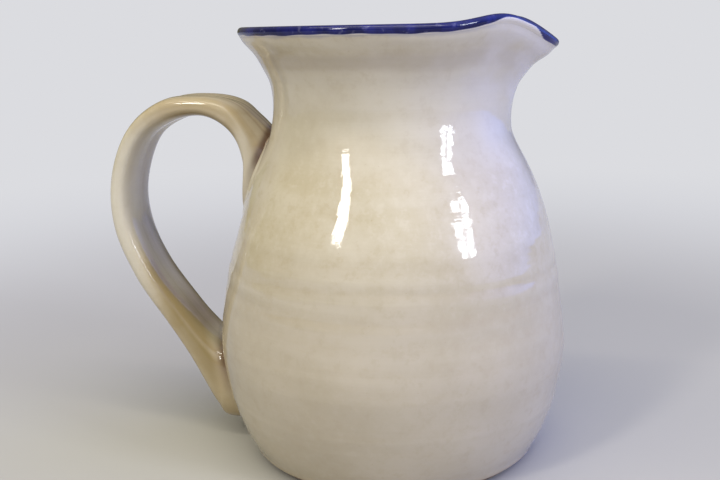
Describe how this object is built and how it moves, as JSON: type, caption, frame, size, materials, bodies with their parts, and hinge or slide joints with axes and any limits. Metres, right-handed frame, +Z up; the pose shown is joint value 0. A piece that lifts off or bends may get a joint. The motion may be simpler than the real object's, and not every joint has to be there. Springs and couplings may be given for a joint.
{
  "type": "ceramic pitcher",
  "caption": "Hand-thrown glazed stoneware pitcher with round belly, narrow neck, flared blue lip, pinched spout and pulled strap handle.",
  "frame": {"origin": "centre of the foot's underside, in the plane that the pitcher stands on", "axes": "+Z up along the axis the pot was turned on, +X from the handle towards the spout"},
  "size_m": [0.2041, 0.1516, 0.1888],
  "materials": {
    "fired_clay": "bare fired stoneware, matt and slightly gritty",
    "slip": "fired slip, matt",
    "cream_glaze": "glossy cream glaze over faint throwing rings",
    "liner_glaze": "glossy cream liner glaze",
    "cobalt_glaze": "glossy cobalt-blue glaze that bleeds softly at its edge"
  },
  "bodies": {
    "root": {"clay_body": "fired_clay", "handle": "fired_clay", "upper_slip_joint": "slip", "lower_slip_joint": "slip", "body_glaze": "cream_glaze", "handle_glaze": "cream_glaze", "liner_glaze": "liner_glaze", "rim_band": "cobalt_glaze"}
  },
  "joints": []
}
